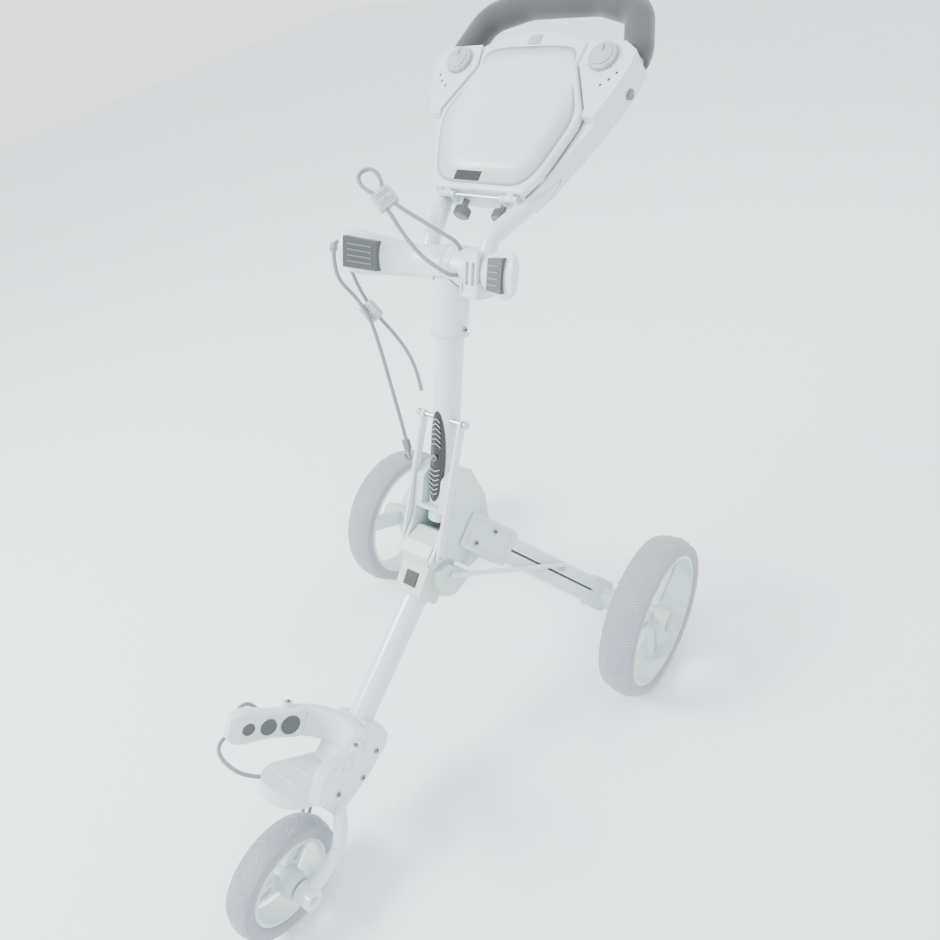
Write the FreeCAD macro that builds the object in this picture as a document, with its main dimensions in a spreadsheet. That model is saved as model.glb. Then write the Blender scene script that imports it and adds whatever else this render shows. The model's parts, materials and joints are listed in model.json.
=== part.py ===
"""Three-wheel folding push cart for a golf bag, as a parametric FreeCAD document.

Millimetres, +Z up, +X towards the front wheel, +Y to the cart's left. The origin is on the
ground under the middle of the cart. Sizes live in the spreadsheet "Sizes".
"""
import FreeCAD, Part
import math
import os

import Sketcher
from FreeCAD import Placement, Rotation, Vector

doc = FreeCAD.newDocument("push_cart")
SUB_PARTS = []

# ---------------------------------------------------------------- driving dimensions
DIMENSIONS = {
    "wheelbase": 659.3,
    "axle_to_origin": 182.6,
    "rear_wheel_y": 288.5,
    "rear_wheel_radius": 145,
    "rear_tyre_half": 30,
    "front_wheel_radius": 94.2,
    "front_tyre_half": 23.2,
    "tyre_crown": 9,
    "tyre_depth": 17,
    "rim_wall": 6,
    "spoke_width": 24,
    "spoke_depth": 14,
    "spoke_groove": 12,
    "groove_depth": 4,
    "hub_radius": 21,
    "bearing_radius": 11,
    "bearing_width": 7,
    "axle_radius": 5.95,
    "running_gap": 0.05,
    "body_gap": 0.4,
    "front_tube_radius": 21,
    "tube_wall": 1.8,
    "front_tube_start": -58,
    "front_tube_end": 300,
    "tube_slope": 29.8,
    "post_half_width": 21,
    "post_half_depth": 23,
    "handle_tube_radius": 13.5,
    "grip_radius": 21,
    "pin_radius": 5,
    "arm_width": 48,
    "arm_thick": 25,
    "arm_length": 262,
    "wing_wall": 5,
    "fold_pin_x": 213,
    "fold_pin_height": 378.6,
    "head_half": 26,
    "cheek_half": 33,
    "link_thick": 5,
    "link_width": 14,
    "barrel_radius": 30,
    "barrel_half": 22,
    "console_slope": 36,
    "console_depth": 34,
    "tray_floor": 4,
    "lid_thick": 13,
    "dial_radius": 20,
    "dial_thick": 7,
    "stay_radius": 4,
    "fork_radius": 11,
    "cradle_width": 46,
    "cradle_thick": 22,
    "foot_thick": 20,
    "cord_radius": 3,
}

sheet = doc.addObject("Spreadsheet::Sheet", "Sizes")
for row, (alias, number) in enumerate(DIMENSIONS.items(), start=1):
    sheet.set(f"A{row}", alias)
    sheet.set(f"B{row}", str(number))
    sheet.setAlias(f"B{row}", alias)
doc.recompute()


def size(formula):
    """The value of a formula of sheet aliases, or of a plain number."""
    if not isinstance(formula, str):
        return float(formula)
    result = sheet.evalExpression(formula)
    return float(getattr(result, "Value", result))


def linked(formula):
    """The formula with each alias pointing at the sheet, for use by another object."""
    words = sorted(DIMENSIONS, key=len, reverse=True)
    for number, word in enumerate(words):
        formula = formula.replace(word, f"<{number}>")
    for number, word in enumerate(words):
        formula = formula.replace(f"<{number}>", f"Sizes.{word}")
    return formula


def bind(thing, prop, formula):
    """Set a property from a number, or tie it to the sheet when it is a formula."""
    if isinstance(formula, str):
        thing.setExpression(prop, linked(formula))
    else:
        setattr(thing, prop, formula)


# ---------------------------------------------------------------- frames of reference
ACROSS = Vector(0, 1, 0)
UP = Vector(0, 0, 1)


def cart(x, y, height):
    """A point given from the rear axle's middle on the ground."""
    return Vector(x - size("axle_to_origin"), y, height)


def frame(origin, x_axis, y_axis):
    """A placement whose local X and Y run along the two axes."""
    return Placement(origin, Rotation(x_axis, y_axis, x_axis.cross(y_axis), "XYZ"))


slope = math.radians(size("tube_slope"))
ALONG_TUBE = Vector(math.cos(slope), 0, -math.sin(slope))
TUBE_TOP = cart(243.5, 0, 318)
TUBE = frame(TUBE_TOP, ALONG_TUBE, ACROSS)

POST_FOOT = cart(150, 0, 402)
POST_MIDDLE = cart(75, 0, 579)
POST_HEAD = cart(9, 0, 745)
POST_UP = (POST_HEAD - POST_FOOT).normalize()
POST_FRONT = ACROSS.cross(POST_UP)

BAG_FRONT = Vector(0.753, 0, 0.658).normalize()
BAG = frame(cart(0, 0, 0), BAG_FRONT, ACROSS)

ARM_PIVOT = cart(110, 48, 334)
ARM_END = cart(0, 192, 145)
ALONG_ARM = (ARM_END - ARM_PIVOT).normalize()
ARM_EDGE = Vector(ALONG_ARM.x, 0, ALONG_ARM.z).normalize().cross(ACROSS)
ARM_FACE = ARM_EDGE.cross(ALONG_ARM)
ARM = frame(ARM_PIVOT, ALONG_ARM, ARM_FACE)

tilt = math.radians(size("console_slope"))
CONSOLE_UP = Vector(-math.cos(tilt), 0, math.sin(tilt))
CONSOLE = frame(cart(-95, 0, 838), ACROSS, CONSOLE_UP)

FOLD_PIN = cart(size("fold_pin_x"), 0, size("fold_pin_height"))
BARREL = cart(-5, 0, 768)


def in_frame(placement, x, y, z):
    """A point of a local frame, in the part's frame."""
    return placement.multVec(Vector(x, y, z))


def turned(placement, x=0, y=0, z=0):
    """The same frame moved by a local offset."""
    return Placement(in_frame(placement, x, y, z), placement.Rotation)


# ---------------------------------------------------------------- building blocks
def keep(label, thing):
    """Name a finished sub-part."""
    thing.Label = label
    SUB_PARTS.append(thing)
    return thing


def origin_plane(body, role):
    return next(f for f in body.Origin.OriginFeatures if f.Role == role)


def closed_sketch(body, plane, outline, offset=0, arcs=None):
    """A closed, fully placed outline; arcs maps an edge's number to a point that it passes."""
    sketch = body.newObject("Sketcher::SketchObject", "Outline")
    sketch.AttachmentSupport = (origin_plane(body, plane), "")
    sketch.MapMode = "FlatFace"
    sketch.AttachmentOffset = Placement(Vector(0, 0, size(offset)), Rotation())
    points = [Vector(size(a), size(b), 0) for a, b in outline]
    count = len(points)
    for number, start in enumerate(points):
        end = points[(number + 1) % count]
        if arcs and number in arcs:
            middle = Vector(size(arcs[number][0]), size(arcs[number][1]), 0)
            sketch.addGeometry(Part.Arc(start, middle, end), False)
        else:
            sketch.addGeometry(Part.LineSegment(start, end), False)
    ends = []
    for number, start in enumerate(points):
        turned_over = (sketch.Geometry[number].StartPoint - start).Length > 1e-6
        ends.append((2, 1) if turned_over else (1, 2))
    for number, (a, b) in enumerate(outline):
        before = (number - 1) % count
        sketch.addConstraint(
            Sketcher.Constraint("Coincident", before, ends[before][1], number, ends[number][0]))
        for kind, value in (("DistanceX", a), ("DistanceY", b)):
            place = sketch.addConstraint(Sketcher.Constraint(
                kind, -1, 1, number, ends[number][0], size(value)))
            if isinstance(value, str):
                sketch.setExpression(f"Constraints[{place}]", linked(value))
    for number in arcs or {}:
        sketch.addConstraint(
            Sketcher.Constraint("Radius", number, sketch.Geometry[number].Radius))
    return sketch


def plate(name, outline, low, thick, place, arcs=None, rounding=0):
    """An outline in the frame's XY plane, padded along its Z from low; edges along Z rounded."""
    body = doc.addObject("PartDesign::Body", name)
    pad = body.newObject("PartDesign::Pad", "Pad")
    pad.Profile = closed_sketch(body, "XY_Plane", outline, low, arcs)
    bind(pad, "Length", thick)
    doc.recompute()
    if rounding:
        upright = [
            f"Edge{n}" for n, edge in enumerate(pad.Shape.Edges, start=1)
            if abs(abs(edge.tangentAt(edge.FirstParameter).z) - 1) < 1e-6]
        fillet = body.newObject("PartDesign::Fillet", "Rounding")
        fillet.Base = (pad, upright)
        bind(fillet, "Radius", rounding)
    body.Placement = place
    return body


def soften(name, source, radius, choose=lambda edge: True):
    """Round the chosen edges of a finished shape."""
    doc.recompute()
    fillet = doc.addObject("Part::Fillet", name)
    fillet.Base = source
    picked = [n for n, edge in enumerate(source.Shape.Edges, start=1) if choose(edge)]
    fillet.Edges = [(n, size(radius), size(radius)) for n in picked]
    return fillet


def lathe(name, outline, place, arcs=None):
    """An outline of (radius, height) points turned round the frame's Z axis."""
    body = doc.addObject("PartDesign::Body", name)
    turning = body.newObject("PartDesign::Revolution", "Revolution")
    sketch = closed_sketch(body, "XZ_Plane", outline, 0, arcs)
    turning.Profile = sketch
    turning.ReferenceAxis = (sketch, ["V_Axis"])
    turning.Angle = 360
    body.Placement = place
    return body


def rod(name, radius, length, start, direction):
    """A round bar from start along a direction."""
    bar = doc.addObject("Part::Cylinder", name)
    bind(bar, "Radius", radius)
    bind(bar, "Height", length)
    bar.Placement = Placement(start, Rotation(UP, direction))
    return bar


def block(name, length, width, height, place):
    """A box with its corner at the frame's origin."""
    box = doc.addObject("Part::Box", name)
    bind(box, "Length", length)
    bind(box, "Width", width)
    bind(box, "Height", height)
    box.Placement = place
    return box


def fuse(name, *pieces):
    joined = doc.addObject("Part::MultiFuse", name)
    joined.Shapes = list(pieces)
    return joined


def cut(name, base, *tools):
    """The base with each tool taken away."""
    for number, tool in enumerate(tools, start=1):
        step = doc.addObject("Part::Cut", name if number == len(tools) else f"{name}_{number}")
        step.Base = base
        step.Tool = tool
        base = step
    return base


def mirror(label, source):
    """The same piece on the cart's other side."""
    other = doc.addObject("Part::Mirroring", label)
    other.Source = source
    other.Normal = ACROSS
    return keep(label, other)


def group(label, *pieces):
    """Separate solids that share one name."""
    together = doc.addObject("Part::Compound", label)
    together.Links = list(pieces)
    return keep(label, together)


def route(points, radii):
    """Straight runs joined by tangent arcs, each arc of its own radius."""
    edges = []
    last = points[0]
    for number in range(1, len(points) - 1):
        corner = points[number]
        back = (points[number - 1] - corner).normalize()
        onward = (points[number + 1] - corner).normalize()
        half = back.getAngle(onward) / 2
        reach = radii[number - 1] / math.tan(half)
        begin = corner + back * reach
        end = corner + onward * reach
        inward = (back + onward).normalize()
        depth = radii[number - 1] / math.sin(half) - radii[number - 1]
        edges.append(Part.LineSegment(last, begin).toShape())
        edges.append(Part.Arc(begin, corner + inward * depth, end).toShape())
        last = end
    edges.append(Part.LineSegment(last, points[-1]).toShape())
    return Part.Wire(edges)


def tube_along(wire, radius, bore=0):
    """A round bar or tube that follows a wire."""
    def swept(r):
        start = wire.Edges[0]
        heading = start.tangentAt(start.FirstParameter)
        ring = Part.Wire(Part.Circle(start.valueAt(start.FirstParameter), heading, r).toShape())
        return wire.makePipeShell([ring], True, False)
    return swept(radius).cut(swept(bore)) if bore else swept(radius)


def shaped(name, shape):
    """A piece whose shape is made directly."""
    piece = doc.addObject("Part::Feature", name)
    piece.Shape = shape
    return piece


def rounded_section(centre, wide_axis, thick_axis, half_wide, half_thick, corner):
    """A closed rounded rectangle round a point."""
    corners = []
    for a, b in ((1, 1), (-1, 1), (-1, -1), (1, -1)):
        corners.append((a, b))
    edges = []
    for number, (a, b) in enumerate(corners):
        c, e = corners[(number + 1) % len(corners)]
        along_wide = b == e
        def spot(sign_a, sign_b, inset_a, inset_b):
            return (centre + wide_axis * (sign_a * (half_wide - inset_a))
                    + thick_axis * (sign_b * (half_thick - inset_b)))
        start = spot(a, b, corner, 0) if along_wide else spot(a, b, 0, corner)
        stop = spot(c, e, corner, 0) if along_wide else spot(c, e, 0, corner)
        edges.append(Part.LineSegment(start, stop).toShape())
        bow = corner * (1 - math.sqrt(0.5))
        begin, finish = stop, spot(c, e, 0, corner) if along_wide else spot(c, e, corner, 0)
        edges.append(Part.Arc(begin, spot(c, e, bow, bow), finish).toShape())
    return Part.Wire(edges)


# ---------------------------------------------------------------- wheels
def wheel(prefix, place, radius, half, hub_in, hub_out, stub=0):
    """Rim with three grooved spokes, tyre, bearings and cap; local Z points outwards."""
    tread_edge = f"{radius} - tyre_crown"
    seat = f"{radius} - tyre_depth - tyre_crown"
    keep(f"{prefix}_tyre", lathe(
        f"{prefix}_tyre",
        [(seat, f"-{half} + 3"), (f"{tread_edge} - 3", f"-{half}"), (tread_edge, f"-{half} + 3"),
         (tread_edge, f"{half} - 3"), (f"{tread_edge} - 3", half), (seat, f"{half} - 3")],
        place, arcs={2: (radius, 0)}))
    ring = lathe(
        f"{prefix}_ring",
        [(seat, f"-{half} + 4"), (seat, f"{half} - 4"), (f"{seat} - rim_wall", f"{half} - 4"),
         (f"{seat} - rim_wall", f"-{half} + 4")], place)
    hub = lathe(
        f"{prefix}_hub",
        [("axle_radius + 2", hub_in), ("hub_radius - 2", hub_in), ("hub_radius", f"{hub_in} + 4"),
         ("hub_radius", f"{hub_out} - 12"), ("hub_radius - 3", hub_out), ("axle_radius + 2", hub_out)],
        place)
    spokes = []
    for turn in range(3):
        swing = Placement(Vector(), Rotation(UP, turn * 120 + 90))
        arm = plate(
            f"{prefix}_spoke",
            [("hub_radius - 4", "-spoke_width / 2 - 3"), (f"{seat} - rim_wall / 2", "-spoke_width / 2"),
             (f"{seat} - rim_wall / 2", "spoke_width / 2"), ("hub_radius - 4", "spoke_width / 2 + 3")],
            "-spoke_depth / 2", "spoke_depth", place.multiply(swing))
        groove = plate(
            f"{prefix}_groove",
            [("hub_radius + 8", "-spoke_groove / 2"), (f"{seat} - rim_wall - 8", "-spoke_groove / 2"),
             (f"{seat} - rim_wall - 8", "spoke_groove / 2"), ("hub_radius + 8", "spoke_groove / 2")],
            "spoke_depth / 2 - groove_depth", "spoke_depth", place.multiply(swing), rounding=3)
        spokes.append(cut(f"{prefix}_grooved", arm, groove))
    outward = place.Rotation.multVec(UP)
    bore = rod(f"{prefix}_bore", "axle_radius + 2", size(f"{hub_out} - {hub_in}") + 4,
               in_frame(place, 0, 0, size(hub_in) - 2), outward)
    seats = [rod(f"{prefix}_seat", "bearing_radius", "bearing_width", in_frame(place, 0, 0, depth),
                 outward) for depth in (size(hub_in), size(hub_out) - size("bearing_width"))]
    rim = fuse(f"{prefix}_rim_body", ring, hub, *spokes)
    keep(f"{prefix}_rim", cut(f"{prefix}_rim", rim, bore, *seats))
    rings = []
    for depth in (size(hub_in), size(hub_out) - size("bearing_width")):
        outer = rod(f"{prefix}_race", "bearing_radius", "bearing_width",
                    in_frame(place, 0, 0, depth), outward)
        inner = rod(f"{prefix}_race_bore", "axle_radius + running_gap", "bearing_width + 2",
                    in_frame(place, 0, 0, depth - 1), outward)
        rings.append(cut(f"{prefix}_bearing", outer, inner))
    group(f"{prefix}_bearings", *rings)
    return outward


REAR_LEFT = frame(cart(0, size("rear_wheel_y"), size("rear_wheel_radius")), Vector(1, 0, 0),
                  Vector(0, 0, -1))
FRONT = frame(cart(size("wheelbase"), 0, size("front_wheel_radius")), Vector(1, 0, 0),
              Vector(0, 0, -1))
wheel("rear_left", REAR_LEFT, "rear_wheel_radius", "rear_tyre_half", "-44", "34")
wheel("front", FRONT, "front_wheel_radius", "front_tyre_half", "-26", "36")


def hub_cap(label, place, depth):
    """Domed release cap that closes the hub and holds the axle's end."""
    return lathe(
        label,
        [(0, f"{depth} + 0.4"), ("hub_radius - 4", f"{depth} + 0.4"),
         ("hub_radius - 4", f"{depth} + 4"), ("hub_radius - 8", f"{depth} + 7"), (0, f"{depth} + 8")],
        place)


keep("rear_left_cap", hub_cap("rear_left_cap", REAR_LEFT, "34"))
front_back = frame(FRONT.Base, Vector(1, 0, 0), UP)
keep("front_cap", hub_cap("front_cap", front_back, "26"))
for piece in ("tyre", "rim", "bearings", "cap"):
    source = next(s for s in SUB_PARTS if s.Label == f"rear_left_{piece}")
    mirror(f"rear_right_{piece}", source)

# ---------------------------------------------------------------- rear arms
arm_bar = plate(
    "arm_bar",
    [(0, "-arm_thick / 2"), ("arm_length", "-arm_thick / 2"), ("arm_length", "arm_thick / 2"),
     (0, "arm_thick / 2")],
    "-arm_width / 2", "arm_width", ARM)
arm_round = soften("arm_round", arm_bar, 5, lambda e: e.Length > size("arm_length") - 1)
arm_eye = rod("arm_eye", "arm_width / 2", "arm_thick", in_frame(ARM, 0, -size("arm_thick") / 2, 0),
              ARM_FACE)
arm_groove = block("arm_groove", "arm_length", 3, 4, turned(ARM, 22, size("arm_thick") / 2 - 1.5, -2))
arm_bore = rod("arm_bore", "pin_radius + running_gap", 60, in_frame(ARM, 0, -30, 0), ARM_FACE)
AXLE_START = cart(0, 198, size("rear_wheel_radius"))
rear_axle = rod("rear_axle_left", "axle_radius", 124, AXLE_START, ACROSS)
axle_room = rod("axle_room", "axle_radius", 124, AXLE_START, ACROSS)
arm_whole = cut("rear_arm_left", fuse("arm_solid", arm_round, arm_eye), arm_groove, arm_bore,
                axle_room)
keep("rear_arm_left", arm_whole)
cap_sleeve = block("cap_sleeve", 34, "arm_thick + 8", "arm_width + 8",
                   turned(ARM, size("arm_length") - 30, -size("arm_thick") / 2 - 4,
                          -size("arm_width") / 2 - 4))
cap_barrel = rod("cap_barrel", 21, 58, cart(0, 180, size("rear_wheel_radius")), ACROSS)
cap_body = fuse("cap_body", soften("cap_soft", cap_sleeve, 4), cap_barrel)
keep("arm_cap_left", cut("arm_cap_left", cap_body, arm_whole, axle_room))
keep("rear_axle_left", rear_axle)

# ---------------------------------------------------------------- hub housing
def side_plate(name, points, half, rounding=0):
    """A side view (x forward, height) padded to both sides of the middle."""
    outline = [(x - size("axle_to_origin"), height) for x, height in points]
    upright = frame(Vector(), Vector(1, 0, 0), UP)
    return plate(name, outline, f"-({half})", f"2 * ({half})", upright, rounding=rounding)


cheeks = side_plate(
    "cheeks",
    [(118, 490), (146, 484), (178, 424), (212, 394), (229, 384), (226, 366), (206, 363),
     (192, 360), (150, 297), (112, 290), (80, 322), (72, 400), (92, 470)],
    "cheek_half", rounding=5)
fold_room = rod("fold_room", 71, "2 * head_half + 1.6",
                FOLD_PIN - ACROSS * (size("head_half") + 0.8), ACROSS)
wing = block("wing", 92, 52, 62, turned(ARM, -50, -33, -31))
arm_room = block("arm_room", 110, "arm_thick + 2 * body_gap", 85,
                 turned(ARM, -size("arm_width") / 2 - 1.5, -size("arm_thick") / 2 - size("body_gap"),
                        -size("arm_width") / 2 - 0.8))
post_line = Part.Wire(Part.Arc(POST_FOOT, POST_MIDDLE, POST_HEAD).toShape())


def post_shape(half_width, half_depth):
    """The oval post along its slightly bowed line."""
    start = post_line.Edges[0]
    heading = start.tangentAt(start.FirstParameter)
    oval = Part.Ellipse(Vector(), half_depth, half_width).toShape()
    oval.Placement = Placement(POST_FOOT, Rotation(POST_FRONT, ACROSS, heading, "ZXY"))
    return post_line.makePipeShell([Part.Wire(oval)], True, True)


post_solid = post_shape(size("post_half_width"), size("post_half_depth"))
post_inner = post_shape(size("post_half_width") - 2, size("post_half_depth") - 2)
post_tool = shaped("post_tool", post_solid)
wing_shell = soften("wing_soft", wing, 7, lambda e: abs(e.tangentAt(0).dot(ARM_FACE)) > 0.99)


def mirrored(name, source):
    """A helper's twin on the other side."""
    twin = doc.addObject("Part::Mirroring", name)
    twin.Source = source
    twin.Normal = ACROSS
    return twin


arm_pin = rod("arm_pin_left", "pin_radius", 33, in_frame(ARM, 0, -16.5, 0), ARM_FACE)
pin_twin = mirrored("pin_twin", arm_pin)
fold_pin = rod("fold_pin", "pin_radius", 84, FOLD_PIN - ACROSS * 42, ACROSS)
housing = fuse("housing_body", cheeks, wing_shell, mirrored("right_wing", wing_shell))
BADGE_MIDDLE = cart(107, 0, 504)
badge_room = block("badge_room", 60, 34, 90,
                   turned(frame(BADGE_MIDDLE, POST_FRONT, ACROSS), 8, -17, -80))
keep("hub_housing", cut("hub_housing", housing, fold_room, post_tool, badge_room, arm_room,
                        mirrored("room_twin", arm_room), arm_pin, pin_twin, fold_pin))
for name in ("rear_arm", "arm_cap", "rear_axle"):
    mirror(f"{name}_right", next(s for s in SUB_PARTS if s.Label == f"{name}_left"))

HOUSING_SCREWS = [(0, -15), (-24, 15)]
screw_heads = []
for along, edge in HOUSING_SCREWS:
    head = rod("housing_screw", 4.5, 2.5, in_frame(ARM, along, 19, edge), ARM_FACE)
    screw_heads += [head, mirrored("housing_screw_twin", head)]
# ---------------------------------------------------------------- post, badge and side links
LINK_TOP = cart(92.5, 0, 563)
link_pin = rod("link_pin_rod", 4, 84, LINK_TOP - ACROSS * 42, ACROSS)
knobs = [doc.addObject("Part::Sphere", "knob") for side in range(2)]
for knob, side in zip(knobs, (-1, 1)):
    knob.Radius = 6.5
    knob.Placement = Placement(LINK_TOP + ACROSS * 44 * side, Rotation())
barrel_sweep = rod("barrel_sweep", "barrel_radius + 4", 80, BARREL - ACROSS * 40, ACROSS)
keep("post_tube", cut("post_tube", shaped("post_wall", post_solid.cut(post_inner)), link_pin,
                      barrel_sweep))
LINK_RUN = FOLD_PIN - LINK_TOP
link_length = LINK_RUN.Length
link_way = Vector(LINK_RUN).normalize()
link_frame = frame(LINK_TOP + ACROSS * (size("cheek_half") + 1), link_way, ACROSS.cross(link_way))
link_bar = plate(
    "link_bar",
    [(0, "-link_width / 2"), (link_length, "-link_width / 2"),
     (link_length, "link_width / 2"), (0, "link_width / 2")],
    0, "link_thick", link_frame, arcs={1: (link_length + 6, 0), 3: (-6, 0)})
side_link = cut("side_link", link_bar, link_pin, fold_pin)
group("side_links", side_link, mirrored("side_link_twin", side_link))

badge_prism = doc.addObject("Part::Feature", "badge_prism")
badge_oval = Part.Face(Part.Wire(Part.Ellipse(Vector(), 75, 15).toShape()))
badge_oval.Placement = Placement(BADGE_MIDDLE, Rotation(POST_UP, ACROSS * -1, POST_FRONT, "ZXY"))
skin = post_shape(size("post_half_width") + 1.6, size("post_half_depth") + 1.6)
badge_prism.Shape = badge_oval.extrude(POST_FRONT * 30).common(skin)
keep("post_badge", cut("post_badge", badge_prism, shaped("post_solid", post_solid)))
badge_screw = rod("badge_screw", 5, 3.4, BADGE_MIDDLE + POST_FRONT * 24.7, POST_FRONT)

# ---------------------------------------------------------------- folding front: head and tube
TUBE_UP = ALONG_TUBE.cross(ACROSS)
TUBE_SIDE = frame(TUBE_TOP, ALONG_TUBE, TUBE_UP)
front_core = rod("front_core", "front_tube_radius", "front_tube_end - front_tube_start",
                 in_frame(TUBE, size("front_tube_start"), 0, 0), ALONG_TUBE)
front_bore = rod("front_bore", "front_tube_radius - tube_wall", 400,
                 in_frame(TUBE, -60, 0, 0), ALONG_TUBE)
keep("front_tube", cut("front_tube", front_core, front_bore))
head_top = plate(
    "head_top",
    [(10, -26), (12, 27), (-38, 38), (-48, 52), (-70, 52), (-98, 44), (-104, 20), (-80, -26)],
    "-head_half", "2 * head_half", TUBE_SIDE, rounding=6)
head_foot = side_plate(
    "head_foot",
    [(222, 357), (206, 355), (196, 351), (157, 294), (168, 285), (204, 284), (230, 308), (234, 340)],
    38, rounding=4)
fold_bore = rod("fold_bore", "pin_radius + running_gap", 90, FOLD_PIN - ACROSS * 45, ACROSS)
patch = frame(in_frame(TUBE, -13, 0, 33), Vector(ALONG_TUBE * 50 - TUBE_UP * 11).normalize(), ACROSS)
label_block = block("label_block", 24, 24, 2.4, turned(patch, -12, -12, -0.8))
label_tile = keep("label_tile", soften("label_tile", label_block, 0.7))
keep("front_head", cut("front_head", fuse("head_body", head_top, head_foot), front_core, fold_bore,
                       label_tile))

# ---------------------------------------------------------------- lower bracket, cradle and foot
bracket_body = plate(
    "bracket_body",
    [(215, -20), (228, -52), (245, -60), (300, -50), (352, -26), (362, 2), (352, 26), (322, 34),
     (236, 30), (215, 22)],
    -28, 56, TUBE_SIDE, rounding=8)
CRADLE_LEVEL = -140


def in_bag(out, across, along):
    """A point by its distance out from the bag's back, across the cart and along the bag."""
    return in_frame(BAG, out, across, along)


yoke_path = Part.Wire(Part.Arc(in_bag(531, 56, CRADLE_LEVEL), in_bag(500, 0, CRADLE_LEVEL),
                               in_bag(531, -56, CRADLE_LEVEL)).toShape())
yoke_edge = yoke_path.Edges[0]
yoke_heading = yoke_edge.tangentAt(yoke_edge.FirstParameter)
BAG_UP = BAG_FRONT.cross(ACROSS)
yoke_section = rounded_section(
    yoke_edge.valueAt(yoke_edge.FirstParameter), BAG_UP, BAG_UP.cross(yoke_heading),
    size("cradle_width") / 2, size("cradle_thick") / 2, 4)
yoke = shaped("yoke", yoke_path.makePipeShell([yoke_section], True, False))

fork_points = [in_frame(TUBE, 336, 15, -8), cart(560, 42, 123), cart(588, 55, 106),
               cart(size("wheelbase"), 55, size("front_wheel_radius"))]
fork_tube = shaped("fork_tube", tube_along(route(fork_points, [30, 40]), size("fork_radius")))
fork_eye = rod("fork_eye", 16, 28, cart(size("wheelbase"), 40, size("front_wheel_radius")), ACROSS)
front_axle = rod("front_axle", "axle_radius", 96,
                 cart(size("wheelbase"), -25, size("front_wheel_radius")), ACROSS)
cord_eyes = [rod("bracket_eye", "cord_radius + 0.4", 24, cart(*mouth), Vector(*inward))
             for mouth, inward in (((530, -36, 150), (-6, 12, 10)), ((524, -36, 134), (-10, 12, 6)))]
keep("lower_bracket", cut("lower_bracket", fuse("bracket_yoke", bracket_body, yoke), front_core,
                          fork_tube, *cord_eyes))
keep("fork_arm", cut("fork_arm", fuse("fork_whole", fork_tube, fork_eye), front_axle))
keep("front_axle", front_axle)

CRADLE_LINE = [(532.5, 56.6), (556, 64), (600, 78), (640, 91), (647, 93.5)]
CRADLE_TAPER = [1, 1, 1, 0.96, 0.7]
cradle_way = Vector(BAG_FRONT * 115 + ACROSS * 37).normalize()
cradle_in = BAG_UP.cross(cradle_way) * -1
cradle_sections = [
    rounded_section(in_bag(out, across, CRADLE_LEVEL), BAG_UP, cradle_in,
                    size("cradle_width") / 2 * scale, size("cradle_thick") / 2 * scale, 5 * scale)
    for (out, across), scale in zip(CRADLE_LINE, CRADLE_TAPER)]
cradle_block = shaped("cradle_block", Part.makeLoft(cradle_sections, True, False))
cradle_boss = rod("cradle_boss", 8, 34, in_bag(556, 72, -146), BAG_UP)
DOTS = [(556, 15), (590, 12.5), (620, 9.5)]
dots = []
for out, radius in DOTS:
    line_y = 64 + (out - 556) * 0.32
    centre = in_bag(out, line_y, CRADLE_LEVEL) + cradle_in * (size("cradle_thick") / 2 - 2)
    dots.append(rod("cradle_dot", radius, 4, centre, cradle_in))
cradle_eye = rod("cradle_eye", "cord_radius + 0.4", 17, cart(528.3, 98, 289), ACROSS * -1)
cradle_arm = keep("cradle_arm_left", cut(
    "cradle_arm_left", fuse("cradle_body", cradle_block, cradle_boss), yoke, cradle_eye, *dots))
mirror("cradle_arm_right", cradle_arm)
group("cradle_dots", *dots, *[mirrored("dot_twin", dot) for dot in dots])
cradle_screw = rod("cradle_screw", 4, 2.2, in_bag(556, 72, -112), BAG_UP)
bracket_heads = [cradle_screw, mirrored("cradle_screw_twin", cradle_screw)]
for along, rise in ((258, -40), (303, -36), (330, 10)):
    head = rod("bracket_screw", 4.5, 2.5, in_frame(TUBE, along, 28, rise), ACROSS)
    bracket_heads += [head, mirrored("bracket_screw_twin", head)]
group("bracket_screws", *bracket_heads)
foot = plate("foot", [(504, -34), (584, -46), (584, 46), (504, 34)], -210, "foot_thick", BAG,
             arcs={1: (634, 0)})
foot_eye = rod("foot_eye", "cord_radius + 0.4", 40, cart(608, -46, 270), Vector(-21, 17.3, -20.1))
keep("bag_foot", cut("bag_foot", foot, bracket_body, front_core, foot_eye))

# ---------------------------------------------------------------- stay rods
STAY_OUTER = in_frame(ARM, 152, size("arm_thick") / 2 + 5.5, -19)
STAY_INNER = cart(200, 43.9, 332)
stay_run = STAY_OUTER - STAY_INNER
stay_bar = rod("stay_bar", "stay_radius", stay_run.Length, STAY_INNER, stay_run)
stay_balls = []
for centre in (STAY_INNER, STAY_OUTER):
    ball = doc.addObject("Part::Sphere", "stay_ball")
    ball.Radius = 5
    ball.Placement = Placement(centre, Rotation())
    stay_balls.append(ball)
stay = keep("stay_rod_left", fuse("stay_rod_left", stay_bar, *stay_balls))
mirror("stay_rod_right", stay)

# ---------------------------------------------------------------- upper hub
POST_TOP_WAY = Vector(-0.39, 0, 0.921).normalize()
collar = rod("collar", 27, 84, cart(36, 0, 678), POST_TOP_WAY)
barrel = rod("barrel", "barrel_radius", 14, BARREL - ACROSS * 2, ACROSS)
yoke_room = rod("yoke_room", "barrel_radius + 0.6", 80, BARREL - ACROSS * 82.4, ACROSS)
left_room = rod("left_room", "barrel_radius + 0.6", 80, BARREL + ACROSS * 12.4, ACROSS)
neck = block("neck", 46, 14, 34, frame(cart(-26, -2, 727), Vector(1, 0, 0), ACROSS))
CORD_HOLES = [(cart(-1, 21, 798), 85), (cart(25, 27, 773), 10)]
hole_tools = []
for mouth, rise in CORD_HOLES:
    inward = Vector(-math.cos(math.radians(rise)), 0, -math.sin(math.radians(rise)))
    hole_tools.append(rod("cord_hole", "cord_radius + 0.3", 30, mouth - inward * 12, inward))
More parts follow.
